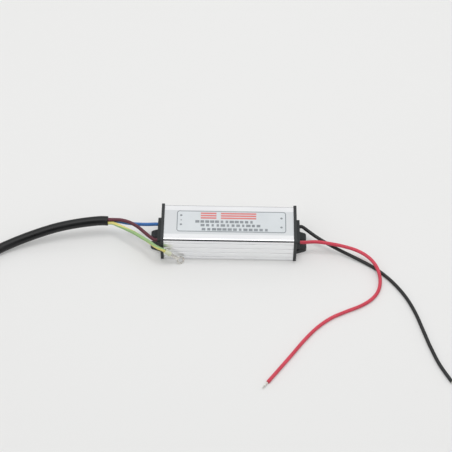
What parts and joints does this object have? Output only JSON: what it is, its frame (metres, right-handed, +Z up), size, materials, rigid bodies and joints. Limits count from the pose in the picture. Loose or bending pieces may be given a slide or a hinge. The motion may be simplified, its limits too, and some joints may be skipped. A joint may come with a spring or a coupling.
{
  "type": "led driver",
  "caption": "LED driver in a grooved aluminium tube with black end caps, slotted mounting ears, a mains input cable with a loose earth core, and red and black output leads.",
  "frame": {"origin": "bottom centre of the tube with its two end caps, on the surface that it stands on", "axes": "+X along the tube from the mains input to the output, +Z up, +Y towards the blue and black leads"},
  "size_m": [0.4076, 0.1908, 0.0269],
  "materials": {
    "aluminium": "satin anodised extrusion",
    "label_film": "silver polyester film, satin",
    "cap_plastic": "fine moulded texture",
    "sealant": "cured silicone",
    "brown_insulation": "PVC insulation",
    "blue_insulation": "PVC insulation",
    "red_insulation": "PVC insulation",
    "black_insulation": "PVC insulation",
    "earth_insulation": "PVC insulation, green with a yellow stripe",
    "cable_jacket": "semi gloss jacket",
    "tinned_metal": "tin plate",
    "board": "solder mask on glass epoxy",
    "film": "polyester film",
    "fuse_body": "glazed body with metal ends",
    "blue_coating": "dipped epoxy",
    "brown_coating": "dipped epoxy",
    "yellow_case": "moulded box",
    "ferrite": "ground ferrite",
    "copper_wire": "enamelled copper",
    "black_epoxy": "moulded epoxy",
    "can_sleeve": "shrunk sleeve",
    "bobbin_plastic": "phenolic moulding",
    "yellow_tape": "polyester tape"
  },
  "bodies": {
    "root": {"housing": "aluminium", "label": "label_film", "input_cap": "cap_plastic", "output_cap": "cap_plastic", "input_sealant": "sealant", "output_sealant": "sealant", "live_tail": "brown_insulation", "neutral_tail": "blue_insulation", "positive_tail": "red_insulation", "negative_tail": "black_insulation", "pcb": "board", "insulation_sheet": "film", "fuse": "fuse_body", "varistor": "blue_coating", "line_capacitor": "yellow_case", "choke_core": "ferrite", "choke_winding": "copper_wire", "bridge_rectifier": "black_epoxy", "bulk_capacitor": "can_sleeve", "controller": "black_epoxy", "switch_transistor": "black_epoxy", "snubber_diode": "black_epoxy", "snubber_capacitor": "brown_coating", "sense_resistors": "black_epoxy", "transformer_core_front": "ferrite", "transformer_core_rear": "ferrite", "transformer_bobbin": "bobbin_plastic", "transformer_winding": "yellow_tape", "isolation_capacitor": "blue_coating", "output_diode": "black_epoxy", "output_capacitor": "can_sleeve", "mains_cable": "cable_jacket", "brown_core": "brown_insulation", "blue_core": "blue_insulation", "earth_core": "earth_insulation", "ring_terminal": "tinned_metal", "brown_end": "brown_insulation", "blue_end": "blue_insulation", "earth_end": "earth_insulation", "cable_tips": "tinned_metal", "red_lead": "red_insulation", "black_lead": "black_insulation", "lead_tips": "tinned_metal"}
  },
  "joints": []
}
